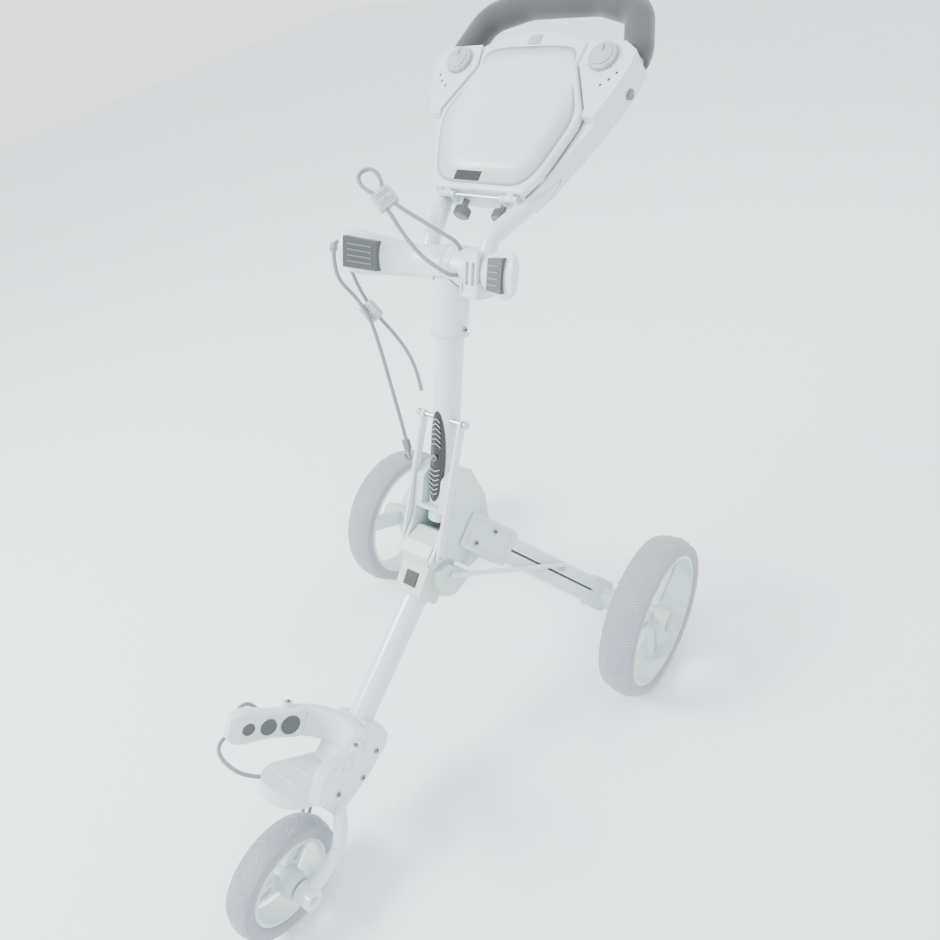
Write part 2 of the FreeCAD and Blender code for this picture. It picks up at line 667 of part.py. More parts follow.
spindle = rod("spindle", 6, 66, BARREL - ACROSS * 20, ACROSS)
spindle_bore = rod("spindle_bore", "6 + running_gap", 90, BARREL - ACROSS * 32, ACROSS)
keep("upper_hub", cut("upper_hub", fuse("hub_body", collar, barrel, neck), yoke_room, left_room,
                      shaped("post_plug", post_solid), spindle))
collar_screw = rod("collar_screw", 4, 2.5, cart(32, 27.1, 690), ACROSS)
group("frame_screws", badge_screw, collar_screw, mirrored("collar_screw_twin", collar_screw),
      *screw_heads)
group("hinge_pins", arm_pin, pin_twin, fold_pin, fuse("link_pin", link_pin, *knobs), spindle)

# ---------------------------------------------------------------- handle tube and grip
def on_console(across, up, out):
    return in_frame(CONSOLE, across, up, out)


LEG = [cart(-14, 50.5, 778.7), cart(-34, 50.5, 802)]
SIDE = [on_console(80, 12, -22), on_console(138, 150, -20)]
CROWN = [on_console(150, 235, -20), on_console(128, 300, -20), on_console(60, 322, -20)]


def across_the_cart(points):
    """The same points on the right side, in the opposite order."""
    return [Vector(p.x, -p.y, p.z) for p in reversed(points)]


half_loop = LEG + SIDE + CROWN
half_radii = [30, 80, 150, 45, 45, 90]
loop = route(half_loop + across_the_cart(half_loop), half_radii + half_radii[::-1])
handle_tube = shaped("handle_core", tube_along(loop, size("handle_tube_radius")))
keep("handle_tube", shaped("handle_tube", tube_along(
    loop, size("handle_tube_radius"), size("handle_tube_radius") - size("tube_wall"))))
half_grip = [on_console(148.3, 223, -20)] + CROWN
grip_path = route(half_grip + across_the_cart(half_grip), half_radii[3:] + half_radii[3:][::-1])
grip_core = shaped("grip_core", tube_along(grip_path, size("grip_radius")))
keep("foam_grip", shaped("foam_grip", tube_along(grip_path, size("grip_radius"),
                                                 size("handle_tube_radius"))))

# ---------------------------------------------------------------- bag arms on the upper hub
def arm_section(x, y, height, half_tall, half_thick):
    """An oval across the arm, tall along the post."""
    centre = cart(x, y, height)
    tall, thick = POST_UP, POST_FRONT
    if abs(half_tall - half_thick) < 0.1:
        return Part.Wire(Part.Circle(centre, ACROSS, half_tall).toShape())
    oval = Part.Ellipse(Vector(), half_tall, half_thick).toShape()
    oval.Placement = Placement(centre, Rotation(tall, ACROSS.cross(tall), ACROSS, "ZXY"))
    return Part.Wire(oval)


def bag_arm(name, root, side):
    """Upper arm: a round root on the barrel that flattens into a broad, bent end."""
    stations = [(-5, root, 768, 30, 30), (-4, root + 6 * side, 769, 29, 29),
                (8, 64 * side, 775, 24, 16), (29, 100 * side, 788, 28, 14),
                (50, 136 * side, 801, 31, 15), (56, 149 * side, 805, 25, 10),
                (58, 153 * side, 806, 14, 5)]
    solid = Part.makeLoft([arm_section(*station) for station in stations], True, False)
    return shaped(name, solid)


post_room = rod("post_room", 27.6, 84, cart(36, 0, 678), POST_TOP_WAY)
arm_tools = [handle_tube, spindle_bore, post_room]
left_arm_loft = fuse("left_arm_whole", bag_arm("left_arm_loft", 36.5, 1),
                     rod("left_root", "barrel_radius - 0.05", 28, BARREL + ACROSS * 12.4, ACROSS))
right_arm_loft = bag_arm("right_arm_loft", -2.5, -1)
LATCH = frame(BARREL + ACROSS * 46, POST_FRONT, ACROSS)
latch_ears = [block("latch_ear", 43, 3, 22, turned(LATCH, -2, y, -34)) for y in (-3.4, 22.4)]
latch_pin = rod("latch_pin", 2.5, 28.8, in_frame(LATCH, 36, -3.4, -29), ACROSS)


def upper_pad(name, side):
    """Ridged rubber pad let into the front of a bag arm."""
    way = Vector(23 / 41, side, 15 / 41)
    sections = []
    for step, half in ((-1, 21), (1, 22)):
        centre = cart(39.5, 118 * side, 794.5) + way * (20 * step) + POST_FRONT * 13.5
        sections.append(rounded_section(centre, POST_UP, POST_FRONT, half, 6.5, 2))
    return shaped(name, Part.makeLoft(sections, True, True))


pads = []
PEG = cart(57, -148, 805)
cord_peg = fuse("cord_peg", rod("peg_stem", 4, 22, PEG, ACROSS * -1),
                rod("peg_head", 8, 2.5, PEG - ACROSS * 22, ACROSS * -1))
right_arm_loft = fuse("right_arm_whole", right_arm_loft, cord_peg)
for label, loft, side in (("left", left_arm_loft, 1), ("right", right_arm_loft, -1)):
    pad = upper_pad(f"{label}_pad", side)
    pads.append(pad)
    whole = fuse("arm_and_ears", loft, *latch_ears) if side == 1 else loft
    extra = [latch_pin, *hole_tools] if side == 1 else []
    keep(f"bag_arm_{label}", cut(f"bag_arm_{label}", whole, *arm_tools, pad, *extra))
group("upper_pads", *pads)
latch_plate = block("latch_plate", 6, 22, 62, turned(LATCH, 33, 0, -34))
latch_lip = block("latch_lip", 12, 22, 5, turned(LATCH, 26, 0, 23))
latch_knuckle = rod("latch_knuckle", 5, 22, in_frame(LATCH, 36, 0, -29), ACROSS)
latch_slots = [block("latch_slot", 14, 5, 30, turned(LATCH, 30, y, -16)) for y in (3.5, 13.5)]
latch_bore = rod("latch_bore", "2.5 + running_gap", 40, in_frame(LATCH, 36, -8, -29), ACROSS)
keep("handle_latch", cut("handle_latch", fuse("latch_body", latch_plate, latch_lip,
                                                 latch_knuckle), latch_bore,
                         *latch_slots))

# ---------------------------------------------------------------- console
def outline_both(half):
    """A left-right symmetrical outline from its left half, given from the bottom upwards."""
    return half + [(-a, b) for a, b in reversed(half)]


tray_half = [(80, -6), (98, 22), (135, 100), (155, 150), (166, 190), (166, 212), (146, 226),
             (88, 228)]
tray_block = plate("tray_block", outline_both(tray_half), "-console_depth", "console_depth", CONSOLE,
                   arcs={7: (0, 246)})
tray_well = plate("tray_well", outline_both([(50, 36), (66, 70), (66, 186)]),
                  "-console_depth + tray_floor", "console_depth", CONSOLE, rounding=6)
HINGE_UP, HINGE_OUT = -10.5, 6
knuckles = []
for side in (-1, 1):
    for near in (40, 61):
        start = on_console(near * side if side == 1 else -near - 8, HINGE_UP, HINGE_OUT)
        knuckles.append(rod("knuckle", 4.5, 8, start, ACROSS))
        base = on_console(near if side == 1 else -near - 8, HINGE_UP - 4.5, -9)
        knuckles.append(block("knuckle_base", 8, 9, 15, Placement(base, CONSOLE.Rotation)))
hinge_pin = rod("lid_hinge_pin", 2, 138, on_console(-69, HINGE_UP, HINGE_OUT), ACROSS)
tray_body = fuse("tray_body", tray_block, *knuckles)
tube_bolt = rod("tube_bolt", 7, 6.5, on_console(158, 170, -20), ACROSS)
bolt_twin = mirrored("tube_bolt_twin", tube_bolt)
keep("console_tray", cut("console_tray", tray_body, tray_well, handle_tube, grip_core, hinge_pin,
                         tube_bolt, bolt_twin))
group("handle_pins", hinge_pin, latch_pin)
lid_half = [(76, -4), (94, 22), (118, 98), (119.5, 121), (84.5, 190), (88, 226)]
lid_plate = plate("lid_plate", outline_both(lid_half), 0.6, "lid_thick", CONSOLE, arcs={5: (0, 248)})
lid_out = CONSOLE.Rotation.multVec(UP)
lid_height = (on_console(0, 0, 0.6 + size("lid_thick")) - on_console(0, 0, 0)).Length
on_top = lambda e: all(abs((v.Point - CONSOLE.Base).dot(lid_out) - lid_height) < 1e-3
                       for v in e.Vertexes)
lid_soft = soften("lid_soft", lid_plate, 5, on_top)
lid_knuckles = []
for start in (-60.4, 48.6):
    lid_knuckles.append(rod("lid_knuckle", 4.5, 11.8, on_console(start, HINGE_UP, HINGE_OUT), ACROSS))
    lid_knuckles.append(block("lid_tab", 11.8, 10, 5, turned(CONSOLE, start, HINGE_UP, 3.5)))
lid_bore = rod("lid_bore", "2 + running_gap", 150, on_console(-75, HINGE_UP, HINGE_OUT), ACROSS)
button_hole = block("button_hole", 21, 15, 30, turned(CONSOLE, -10.5, 225.5, -5))
keep("console_lid", cut("console_lid", fuse("lid_body", lid_soft, *lid_knuckles), lid_bore,
                        button_hole))
keep("lid_button", soften("lid_button", block("button_block", 20, 14, 11.5,
                                              turned(CONSOLE, -10, 226, 3.4)), 1.2))
keep("name_tile", soften("name_tile", block("tile_block", 44, 15, 1.6,
                                            turned(CONSOLE, -46, 8, 0.6 + size("lid_thick"))), 0.6))

corner_points = [(122.5, 113), (140, 112), (155, 150), (166, 190), (166, 212), (146, 226),
                 (91, 227.5), (87, 193), (122, 124.5)]
DIAL_ACROSS, DIAL_UP = 122, 201
corner = plate("corner", corner_points, 0, 13, CONSOLE)
dial_bore = rod("dial_bore", "4 + running_gap", 20, on_console(DIAL_ACROSS, DIAL_UP, 2), lid_out)
corner_block = cut("corner_block", corner, dial_bore, grip_core)
group("corner_blocks", corner_block, mirrored("corner_twin", corner_block))
dial_stem = rod("dial_stem", 4, 12, on_console(DIAL_ACROSS, DIAL_UP, 3), lid_out)
dial_disc = rod("dial_disc", "dial_radius", "dial_thick", on_console(DIAL_ACROSS, DIAL_UP, 13.4),
                lid_out)
keep("dial_left", fuse("dial_left", dial_stem, soften("dial_soft", dial_disc, 1.5)))
mirror("dial_right", SUB_PARTS[-1])
stem = rod("screw_stem", 5, 12, on_console(34, -6, -17), CONSOLE_UP * -1)
knob = rod("screw_knob", 11, 15, on_console(34, -18, -17), CONSOLE_UP * -1)
screw = fuse("console_screw", stem, soften("knob_soft", knob, 1.5))
group("console_fixings", tube_bolt, bolt_twin, screw,
      mirrored("console_screw_twin", screw))
clip_body = rod("clip_body", 6, 72, on_console(-177, 158, -14), CONSOLE_UP)
clip_foot = block("clip_foot", 9, 14, 10, turned(CONSOLE, -175, 194, -19))
clip_bore = rod("clip_bore", 4.2, 72, on_console(-177, 161, -14), CONSOLE_UP)
keep("pencil_holder", cut("pencil_holder", fuse("clip_whole", clip_body, clip_foot), clip_bore))

# ---------------------------------------------------------------- elastic cords
def elastic(name, points):
    """An elastic cord: straight runs joined by the largest arcs that fit."""
    runs = [(b - a).Length for a, b in zip(points, points[1:])]
    radii = []
    for number in range(1, len(points) - 1):
        back = points[number - 1] - points[number]
        onward = points[number + 1] - points[number]
        half_turn = (math.pi - back.getAngle(onward)) / 2
        radii.append(0.45 * min(runs[number - 1], runs[number]) / math.tan(half_turn))
    wire = route(points, radii)
    tube = shaped(name, tube_along(wire, size("cord_radius")))
    drawn = math.pi * size("cord_radius") ** 2 * wire.Length
    print(f"{name}: {wire.Length:.0f} mm long, radii {[round(r) for r in radii]},"
          f" volume {tube.Shape.Volume / drawn:.3f} of section times length")
    return tube


def buckle(name, centre, along, flat, long, wide, thick):
    """A flat slide or clip with its long side along a direction."""
    way = Vector(along).normalize()
    side = way.cross(flat).normalize()
    place = frame(centre, way, side)
    body = block(name, long, wide, thick, turned(place, -long / 2, -wide / 2, -thick / 2))
    return soften(f"{name}_soft", body, min(thick, wide) * 0.22)


upper_cord = elastic("upper_cord", [
    cart(-1.5, 21, 793), cart(-0.2, 21, 808), cart(8, 2, 823), cart(14, -32, 845),
    cart(15, -66, 861), cart(8, -90, 878), cart(-2, -99, 887), cart(-7, -109, 896),
    cart(-4, -122, 900), cart(9, -129, 896), cart(17, -123, 887), cart(19, -110, 879),
    cart(18, -96, 874), cart(25, -72, 857), cart(36, -44, 830), cart(42, -14, 804),
    cart(40, 14, 786), cart(32, 27, 774.2), cart(17.5, 27, 771.7)])
tip_cord = elastic("tip_cord", [
    cart(131, -52, 526), cart(121, -62, 556), cart(102, -83, 600), cart(82, -105, 654),
    cart(66, -126, 702), cart(66, -145, 734), cart(74, -161, 762), cart(70, -163, 790),
    cart(62, -162, 813), cart(50, -162, 814), cart(45, -161, 796), cart(46, -160, 764),
    cart(50, -148, 732), cart(52, -128, 700), cart(47, -98, 660), cart(56, -66, 622),
    cart(78, -45, 594)])
cradle_cord = elastic("cradle_cord", [
    cart(528.3, -83, 289), cart(528, -98, 290), cart(531, -109, 305), cart(546, -110, 313),
    cart(559, -110, 303), cart(577, -109, 288), cart(598, -104, 296), cart(611, -90, 298),
    cart(614, -68, 286), cart(608, -46, 270), cart(587, -28.7, 249.9)])
fork_cord = elastic("fork_cord", [
    cart(524, -24, 160), cart(530, -36, 150), cart(550, -37, 131), cart(572, -36, 113),
    cart(590, -35, 93), cart(582, -35, 79), cart(568, -36, 92), cart(548, -37, 113),
    cart(524, -36, 134), cart(514, -24, 140)])
cord_slides = [
    buckle("upper_slide", cart(16, -82, 868), Vector(-12, -40, 27), Vector(0.546, 0.535, 0.644), 30, 32, 9),
    buckle("tip_slide", cart(58, -129, 706), Vector(-4, 22, -34), Vector(0.9, 0, 0.3), 30, 30, 9),
    buckle("tip_hook", cart(133, -51, 516), Vector(10, 11, -34), Vector(0.9, 0, 0.3), 34, 13, 8)]
fork_hook = buckle("fork_hook_block", cart(587, -35, 84), Vector(12, 0, -16), Vector(0, -1, 0), 36, 26, 9)
keep("upper_cord", upper_cord)
keep("tip_cord", tip_cord)
keep("cradle_cord", cradle_cord)
keep("fork_cord", fork_cord)
group("cord_slides", *[cut(f"slide_{number}", slide, upper_cord, tip_cord)
                       for number, slide in enumerate(cord_slides)])
keep("fork_hook", cut("fork_hook", fork_hook, fork_cord))

# ---------------------------------------------------------------- check and write
doc.recompute()
for thing in doc.Objects:
    if "Invalid" in thing.State or "Error" in thing.State:
        raise RuntimeError(f"{thing.Label} failed: {thing.State}")
os.makedirs("parts", exist_ok=True)
for sub_part in SUB_PARTS:
    shape = sub_part.Shape
    if shape.isNull() or not shape.isValid():
        raise RuntimeError(f"{sub_part.Label} has no valid shape")
    shape.exportStep(f"parts/{sub_part.Label}.step")
print(f"{len(SUB_PARTS)} sub-parts written")
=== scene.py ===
# %% [markdown]
# # A folding golf push cart
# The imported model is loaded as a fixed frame. Every place below comes from it: a wheel's middle from
# its tyre's box, the console's slope from its dial's axis. Reading places from the frame keeps this
# file true when the cart's sizes change.

# %% Load the frame
import json
import math
import bmesh
import bpy
from mathutils import Matrix, Vector


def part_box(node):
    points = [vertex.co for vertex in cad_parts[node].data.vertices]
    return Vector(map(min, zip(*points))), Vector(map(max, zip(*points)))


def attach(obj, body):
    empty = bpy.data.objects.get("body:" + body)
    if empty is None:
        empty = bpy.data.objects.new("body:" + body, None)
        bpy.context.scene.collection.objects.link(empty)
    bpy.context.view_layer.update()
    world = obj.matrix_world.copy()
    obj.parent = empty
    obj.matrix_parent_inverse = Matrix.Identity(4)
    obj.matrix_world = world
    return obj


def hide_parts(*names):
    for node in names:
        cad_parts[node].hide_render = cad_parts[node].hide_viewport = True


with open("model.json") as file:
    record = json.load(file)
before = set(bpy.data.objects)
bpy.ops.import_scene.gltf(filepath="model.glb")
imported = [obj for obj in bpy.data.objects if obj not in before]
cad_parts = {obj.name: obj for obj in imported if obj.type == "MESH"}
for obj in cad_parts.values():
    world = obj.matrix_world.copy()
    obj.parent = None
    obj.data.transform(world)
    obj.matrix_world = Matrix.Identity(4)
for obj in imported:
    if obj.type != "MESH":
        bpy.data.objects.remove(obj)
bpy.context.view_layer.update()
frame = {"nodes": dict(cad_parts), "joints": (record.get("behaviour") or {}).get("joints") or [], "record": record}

NODES = frame["nodes"]
JOINTS = {joint["name"]: joint for joint in frame["joints"]}
SLOTS = {part["node"]: part["material_slot"] for part in frame["record"]["subparts"]}


# %% [markdown]
# The rear axle and the console are the two places that the rest hangs on. A short function for each
# turns plain millimetres into a point, so that a length reads as a maker would say it.

# %% Places on the cart
MM = 0.001
ACROSS = Vector((0, 1, 0))


def middle(node):
    """The centre of a node's box."""
    low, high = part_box(node)
    return (low + high) / 2


AXLE = middle("rear_left_tyre").x


def cart(forward, left, height):
    """A point by its distance in front of the rear axle, to the left and above the ground, in mm."""
    return Vector((AXLE + forward * MM, left * MM, height * MM))


DIAL = JOINTS["dial_turn_left"]
DIAL_ACROSS, DIAL_UP, DIAL_OUT = 122, 201, 10
LID_OUT = Vector(DIAL["axis"]).normalized()
LID_UP = Vector((-LID_OUT.z, 0, LID_OUT.x))
DIAL_FROM_FOOT = ACROSS * DIAL_ACROSS + LID_UP * DIAL_UP + LID_OUT * DIAL_OUT
CONSOLE = Vector(DIAL["pos_m"]) - DIAL_FROM_FOOT * MM


def console(across, up, out):
    """A point on the console: across it, up its slope and out of its face, in mm."""
    return CONSOLE + (ACROSS * across + LID_UP * up + LID_OUT * out) * MM


POST_UP = (cart(9, 0, 745) - cart(150, 0, 402)).normalized()
POST_FRONT = ACROSS.cross(POST_UP)
BAG_FRONT = Vector((0.753, 0, 0.658)).normalized()
BAG_UP = Vector((-BAG_FRONT.z, 0, BAG_FRONT.x))
SIDES = ((1, "left"), (-1, "right"))
print("rear axle at x", round(AXLE, 4), "console foot at", [round(v, 3) for v in CONSOLE])


# %% [markdown]
# A camera needs a place, a direction and a lens. Its three axes are written as the columns of a
# matrix, which is the plainest way to give a turned and slightly rolled view.

# %% Camera
def look(place, yaw, pitch, roll, lens):
    """A camera at a place, turned by angles in radians, with its lens in millimetres."""
    back = Vector((math.cos(pitch) * math.cos(yaw), math.cos(pitch) * math.sin(yaw), math.sin(pitch)))
    right = Vector((-math.sin(yaw), math.cos(yaw), 0))
    upward = back.cross(right)
    turned_right = right * math.cos(roll) + upward * math.sin(roll)
    turned_up = upward * math.cos(roll) - right * math.sin(roll)
    camera = bpy.data.objects.new("camera", bpy.data.cameras.new("camera"))
    camera.data.lens = lens
    camera.data.sensor_width = 36
    camera.data.clip_start = 0.05
    axes = Matrix((turned_right, turned_up, back)).transposed()
    camera.matrix_world = Matrix.Translation(place) @ axes.to_4x4()
    bpy.context.scene.collection.objects.link(camera)
    return camera


bpy.context.scene.camera = look(cart(746.4, 671.57, 1237.64), 0.775, 0.699, -0.235, 28.83)
print("camera", [round(v, 3) for v in bpy.context.scene.camera.location])


# %% [markdown]
# A white object on white needs soft light from one side to keep its shapes. One broad key lamp, a
# weak fill and a bright surrounding do it. The floor is a large pale sheet a hair below the wheels.

# %% Floor and light
def lamp(name, place, aim, power, breadth):
    """A square lamp that faces a point; power in watts, breadth in metres."""
    light = bpy.data.lights.new(name, "AREA")
    light.energy = power
    light.size = breadth
    holder = bpy.data.objects.new(name, light)
    holder.location = place
    holder.rotation_euler = (Vector(aim) - Vector(place)).to_track_quat("-Z", "Y").to_euler()
    bpy.context.scene.collection.objects.link(holder)


lamp("key_light", (1.5, -1.5, 2.5), (0, 0, 0.5), 130, 1.0)
lamp("fill_light", (1.6, 2.0, 1.6), (0, 0, 0.5), 12, 2.2)
lamp("back_light", (-2.0, 0.4, 2.2), (0, 0, 0.6), 30, 1.4)
world = bpy.data.worlds.new("studio")
world.use_nodes = True
world.node_tree.nodes["Background"].inputs["Color"].default_value = (0.94, 0.97, 1.0, 1)
world.node_tree.nodes["Background"].inputs["Strength"].default_value = 2.1
bpy.context.scene.world = world


def shade(piece, smooth):
    """Shade every face of a piece smooth or flat."""
    piece.data.polygons.foreach_set("use_smooth", [smooth] * len(piece.data.polygons))


def plain_mesh(name, points, faces, smooth=False):
    """A new object from points and faces."""
    mesh = bpy.data.meshes.new(name)
    mesh.from_pydata([tuple(p) for p in points], [], faces)
    mesh.update()
    piece = bpy.data.objects.new(name, mesh)
    bpy.context.scene.collection.objects.link(piece)
    shade(piece, smooth)
    return piece


REACH = 6
FLOOR = -0.0005
CORNERS = ((-1, -1), (1, -1), (1, 1), (-1, 1))
floor = plain_mesh("floor", [(REACH * a, REACH * b, FLOOR) for a, b in CORNERS], [(0, 1, 2, 3)])


# %% [markdown]
# ## Finishes
# Moulded plastic, powder coat, foam and rubber differ in three things: how rough they are, the size
# of the grain under the gloss, and how evenly they are coloured. One recipe covers them. A fine noise
# drives the bump and the roughness, a broad one drifts the colour, and a rounding of the surface
# direction near edges gives each part the small radius that a mould or a coat leaves.

# %% One recipe for a finish
DRIFT_TINT = (0.9, 0.97, 1.0)


def finish(name, colour, rough, grain, depth, drift, edge=0.0009, metal=0.0, coat=0.0, sheen=0.0):
    """A material with grain, colour drift, uneven gloss and softened edges; lengths in metres."""
    material = bpy.data.materials.new(name)
    material.use_nodes = True
    nodes, links = material.node_tree.nodes, material.node_tree.links
    shader = nodes["Principled BSDF"]
    shader.inputs["Metallic"].default_value = metal
    shader.inputs["Coat Weight"].default_value = coat
    shader.inputs["Coat Roughness"].default_value = 0.12
    shader.inputs["Sheen Weight"].default_value = sheen
    place = nodes.new("ShaderNodeTexCoord")
    broad = nodes.new("ShaderNodeTexNoise")
    broad.inputs["Scale"].default_value = 9
    broad.inputs["Detail"].default_value = 4
    fine = nodes.new("ShaderNodeTexNoise")
    fine.inputs["Scale"].default_value = 1 / grain
    fine.inputs["Detail"].default_value = 3
    for noise in (broad, fine):
        links.new(place.outputs["Object"], noise.inputs["Vector"])
    drifting = nodes.new("ShaderNodeMix")
    drifting.data_type = "RGBA"
    drifting.inputs["A"].default_value = (*colour, 1)
    drifting.inputs["B"].default_value = (*[c * t * (1 - drift) for c, t in zip(colour, DRIFT_TINT)], 1)
    links.new(broad.outputs["Fac"], drifting.inputs["Factor"])
    links.new(drifting.outputs["Result"], shader.inputs["Base Color"])
    gloss = nodes.new("ShaderNodeMapRange")
    gloss.inputs["To Min"].default_value = max(rough - 0.06, 0.02)
    gloss.inputs["To Max"].default_value = min(rough + 0.08, 1)
    links.new(fine.outputs["Fac"], gloss.inputs["Value"])
    links.new(gloss.outputs["Result"], shader.inputs["Roughness"])
    rounded = nodes.new("ShaderNodeBevel")
    rounded.samples = 4
    rounded.inputs["Radius"].default_value = edge
    bump = nodes.new("ShaderNodeBump")
    bump.inputs["Strength"].default_value = depth
    bump.inputs["Distance"].default_value = grain
    links.new(fine.outputs["Fac"], bump.inputs["Height"])
    links.new(rounded.outputs["Normal"], bump.inputs["Normal"])
    links.new(bump.outputs["Normal"], shader.inputs["Normal"])
    return material


FINISHES = {
    "white_plastic": finish("white_plastic", (0.66, 0.71, 0.73), 0.28, 0.0006, 0.04, 0.02, 0.0016),
    "mint_plastic": finish("mint_plastic", (0.58, 0.655, 0.62), 0.3, 0.0006, 0.05, 0.03, 0.0016),
    "white_paint": finish("white_paint", (0.66, 0.725, 0.77), 0.2, 0.0012, 0.03, 0.02, coat=0.5),
    "tyre": finish("tyre", (0.29, 0.29, 0.335), 0.62, 0.0009, 0.18, 0.05, 0.0014, sheen=0.15),
    "tread": finish("tread", (0.40, 0.40, 0.44), 0.5, 0.0009, 0.12, 0.04, 0.0004),
    "foam": finish("foam", (0.06, 0.063, 0.068), 0.8, 0.0011, 0.5, 0.12, sheen=0.3),
    "dark_plastic": finish("dark_plastic", (0.02, 0.021, 0.023), 0.42, 0.0005, 0.08, 0.05),
    "gray_plastic": finish("gray_plastic", (0.16, 0.17, 0.18), 0.4, 0.0005, 0.08, 0.05),
    "pale_gray": finish("pale_gray", (0.42, 0.45, 0.46), 0.36, 0.0005, 0.06, 0.03),
    "rubber_pad": finish("rubber_pad", (0.07, 0.075, 0.08), 0.66, 0.0007, 0.2, 0.08, sheen=0.2),
    # badge_black is the badge's own black, and below it is also painted shade: a strip, discs and hexagons for a
    # groove, holes and screw sockets.
    "badge_black": finish("badge_black", (0.006, 0.006, 0.007), 0.14, 0.002, 0.02, 0.0, coat=0.8),
    "dark_screw": finish("dark_screw", (0.32, 0.33, 0.35), 0.3, 0.0004, 0.1, 0.05, metal=0.8),
    "steel": finish("steel", (0.62, 0.63, 0.65), 0.28, 0.0005, 0.08, 0.05, metal=1.0),
    "cord": finish("cord", (0.22, 0.23, 0.245), 0.7, 0.0007, 0.3, 0.08, sheen=0.3),
    "floor": finish("floor", (0.93, 0.945, 0.95), 0.75, 0.004, 0.01, 0.01),
}
floor.data.materials.append(FINISHES["floor"])
print(len(FINISHES), "finishes")

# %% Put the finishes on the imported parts
PAINTED_OTHERWISE = {
    "lid_button": "pale_gray", "dial_left": "pale_gray", "dial_right": "pale_gray",
    "front_cap": "pale_gray", "rear_left_cap": "pale_gray", "rear_right_cap": "pale_gray",
    "fork_hook": "pale_gray", "cord_slides": "pale_gray",
}
for node, part in NODES.items():
    part.data.materials.clear()
    part.data.materials.append(FINISHES[PAINTED_OTHERWISE.get(node, SLOTS[node])])
    shade(part, False)
print("finished", len(NODES), "packed parts")


# %% [markdown]
# ## Elastic cords
# The cart carries four light gray elastic cords. Each is one smooth spline led by listed points,
# because an elastic cord bends evenly under its own stiffness. Its round section comes from the
# curve's bevel.

# %% Elastic cords
CORD_RADIUS = 3


def round_line(name, points, radius, roundness, steps):
    """A smooth curve led by points, with a round section and closed ends."""
    curve = bpy.data.curves.new(name, "CURVE")
    curve.dimensions = "3D"
    curve.bevel_depth = radius * MM
    curve.bevel_resolution = roundness
    curve.resolution_u = steps
    curve.use_fill_caps = True
    line = curve.splines.new("NURBS")
    line.points.add(len(points) - 1)
    for spot, point in zip(line.points, points):
        spot.co = (*point, 1)
    line.order_u = min(3, len(points))
    line.use_endpoint_u = True
    piece = bpy.data.objects.new(name, curve)
    bpy.context.scene.collection.objects.link(piece)
    return piece


def elastic(name, body, points):
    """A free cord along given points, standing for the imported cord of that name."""
    piece = round_line(f"{name}_line", points, CORD_RADIUS, roundness=4, steps=8)
    piece.data.materials.append(FINISHES["cord"])
    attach(piece, body)
    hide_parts(name)
    return piece


upper_cord = elastic("upper_cord", "handle", [
    cart(-1.5, 21, 793), cart(-0.2, 21, 808), cart(8, 2, 823), cart(14, -32, 845),
    cart(15, -66, 861), cart(8, -90, 878), cart(-2, -99, 887), cart(-7, -109, 896),
    cart(-4, -122, 900), cart(9, -129, 896), cart(17, -123, 887), cart(19, -110, 879),
    cart(18, -96, 874), cart(25, -72, 857), cart(36, -44, 830), cart(42, -14, 804),
    cart(40, 14, 786), cart(32, 27, 774.2), cart(17.5, 27, 771.7)])
tip_cord = elastic("tip_cord", "handle", [
    cart(131, -52, 526), cart(121, -62, 556), cart(102, -83, 600), cart(82, -105, 654),
    cart(66, -126, 702), cart(66, -145, 734), cart(74, -161, 762), cart(70, -163, 790),
    cart(62, -162, 813), cart(50, -162, 814), cart(45, -161, 796), cart(46, -160, 764),
    cart(50, -148, 732), cart(52, -128, 700), cart(47, -98, 660), cart(56, -66, 622),
    cart(78, -45, 594)])
cradle_cord = elastic("cradle_cord", "front", [
    cart(528.3, -83, 289), cart(528, -98, 290), cart(531, -109, 305), cart(546, -110, 313),
    cart(559, -110, 303), cart(577, -109, 288), cart(598, -104, 296), cart(611, -90, 298),
    cart(614, -68, 286), cart(608, -46, 270), cart(587, -28.7, 249.9)])
fork_cord = elastic("fork_cord", "front", [
    cart(524, -24, 160), cart(530, -36, 150), cart(550, -37, 131), cart(572, -36, 113),
    cart(590, -35, 93), cart(582, -35, 79), cart(568, -36, 92), cart(548, -37, 113),
    cart(524, -36, 134), cart(514, -24, 140)])
print("four cords")


# %% [markdown]
# ## Tyres
# A foam tyre is a plain ring with rounded shoulders and a low raised tread. The ring is a profile
# turned round the axle. The tread marks are one small group of raised strokes, laid on the curved
# tread once and repeated round the wheel by Geometry Nodes, because every group is the same.

# %% Turned shapes
def turned(name, outline, centre, axis, steps, material):
    """A closed outline of (radius, depth) in mm turned round an axis through a centre."""
    axis = Vector(axis).normalized()
    side = axis.cross(Vector((0.3, 0, 1))).normalized()
    front = axis.cross(side)
    points, faces = [], []
    for step in range(steps):
        angle = 2 * math.pi * step / steps
        spoke = side * math.cos(angle) + front * math.sin(angle)
        points += [centre + (spoke * radius + axis * depth) * MM for radius, depth in outline]
    count = len(outline)
    for step in range(steps):
        for spot in range(count):
            onward = (spot + 1) % count
            a, b = step * count, (step + 1) % steps * count
            faces.append((a + spot, b + spot, b + onward, a + onward))
    piece = plain_mesh(name, points, faces, True)
    clean(piece)
    piece.data.materials.append(FINISHES[material])
    return piece


def clean(piece):
    """Merge doubles and turn every face outwards."""
    mesh = bmesh.new()
    mesh.from_mesh(piece.data)
    bmesh.ops.remove_doubles(mesh, verts=mesh.verts, dist=1e-6)
    bmesh.ops.recalc_face_normals(mesh, faces=mesh.faces)
    mesh.to_mesh(piece.data)
    mesh.free()


def tread_radius(radius, half, crown, depth):
    """The tread's radius at a distance from the wheel's middle plane, in mm."""
    return radius - crown * (depth / half) ** 2


MARK_HEIGHT = 0.9
MARK_WIDTH = 2.4
MARK_ROOT = -0.3
TYRE_DEPTH = 26
SHOULDER = 5


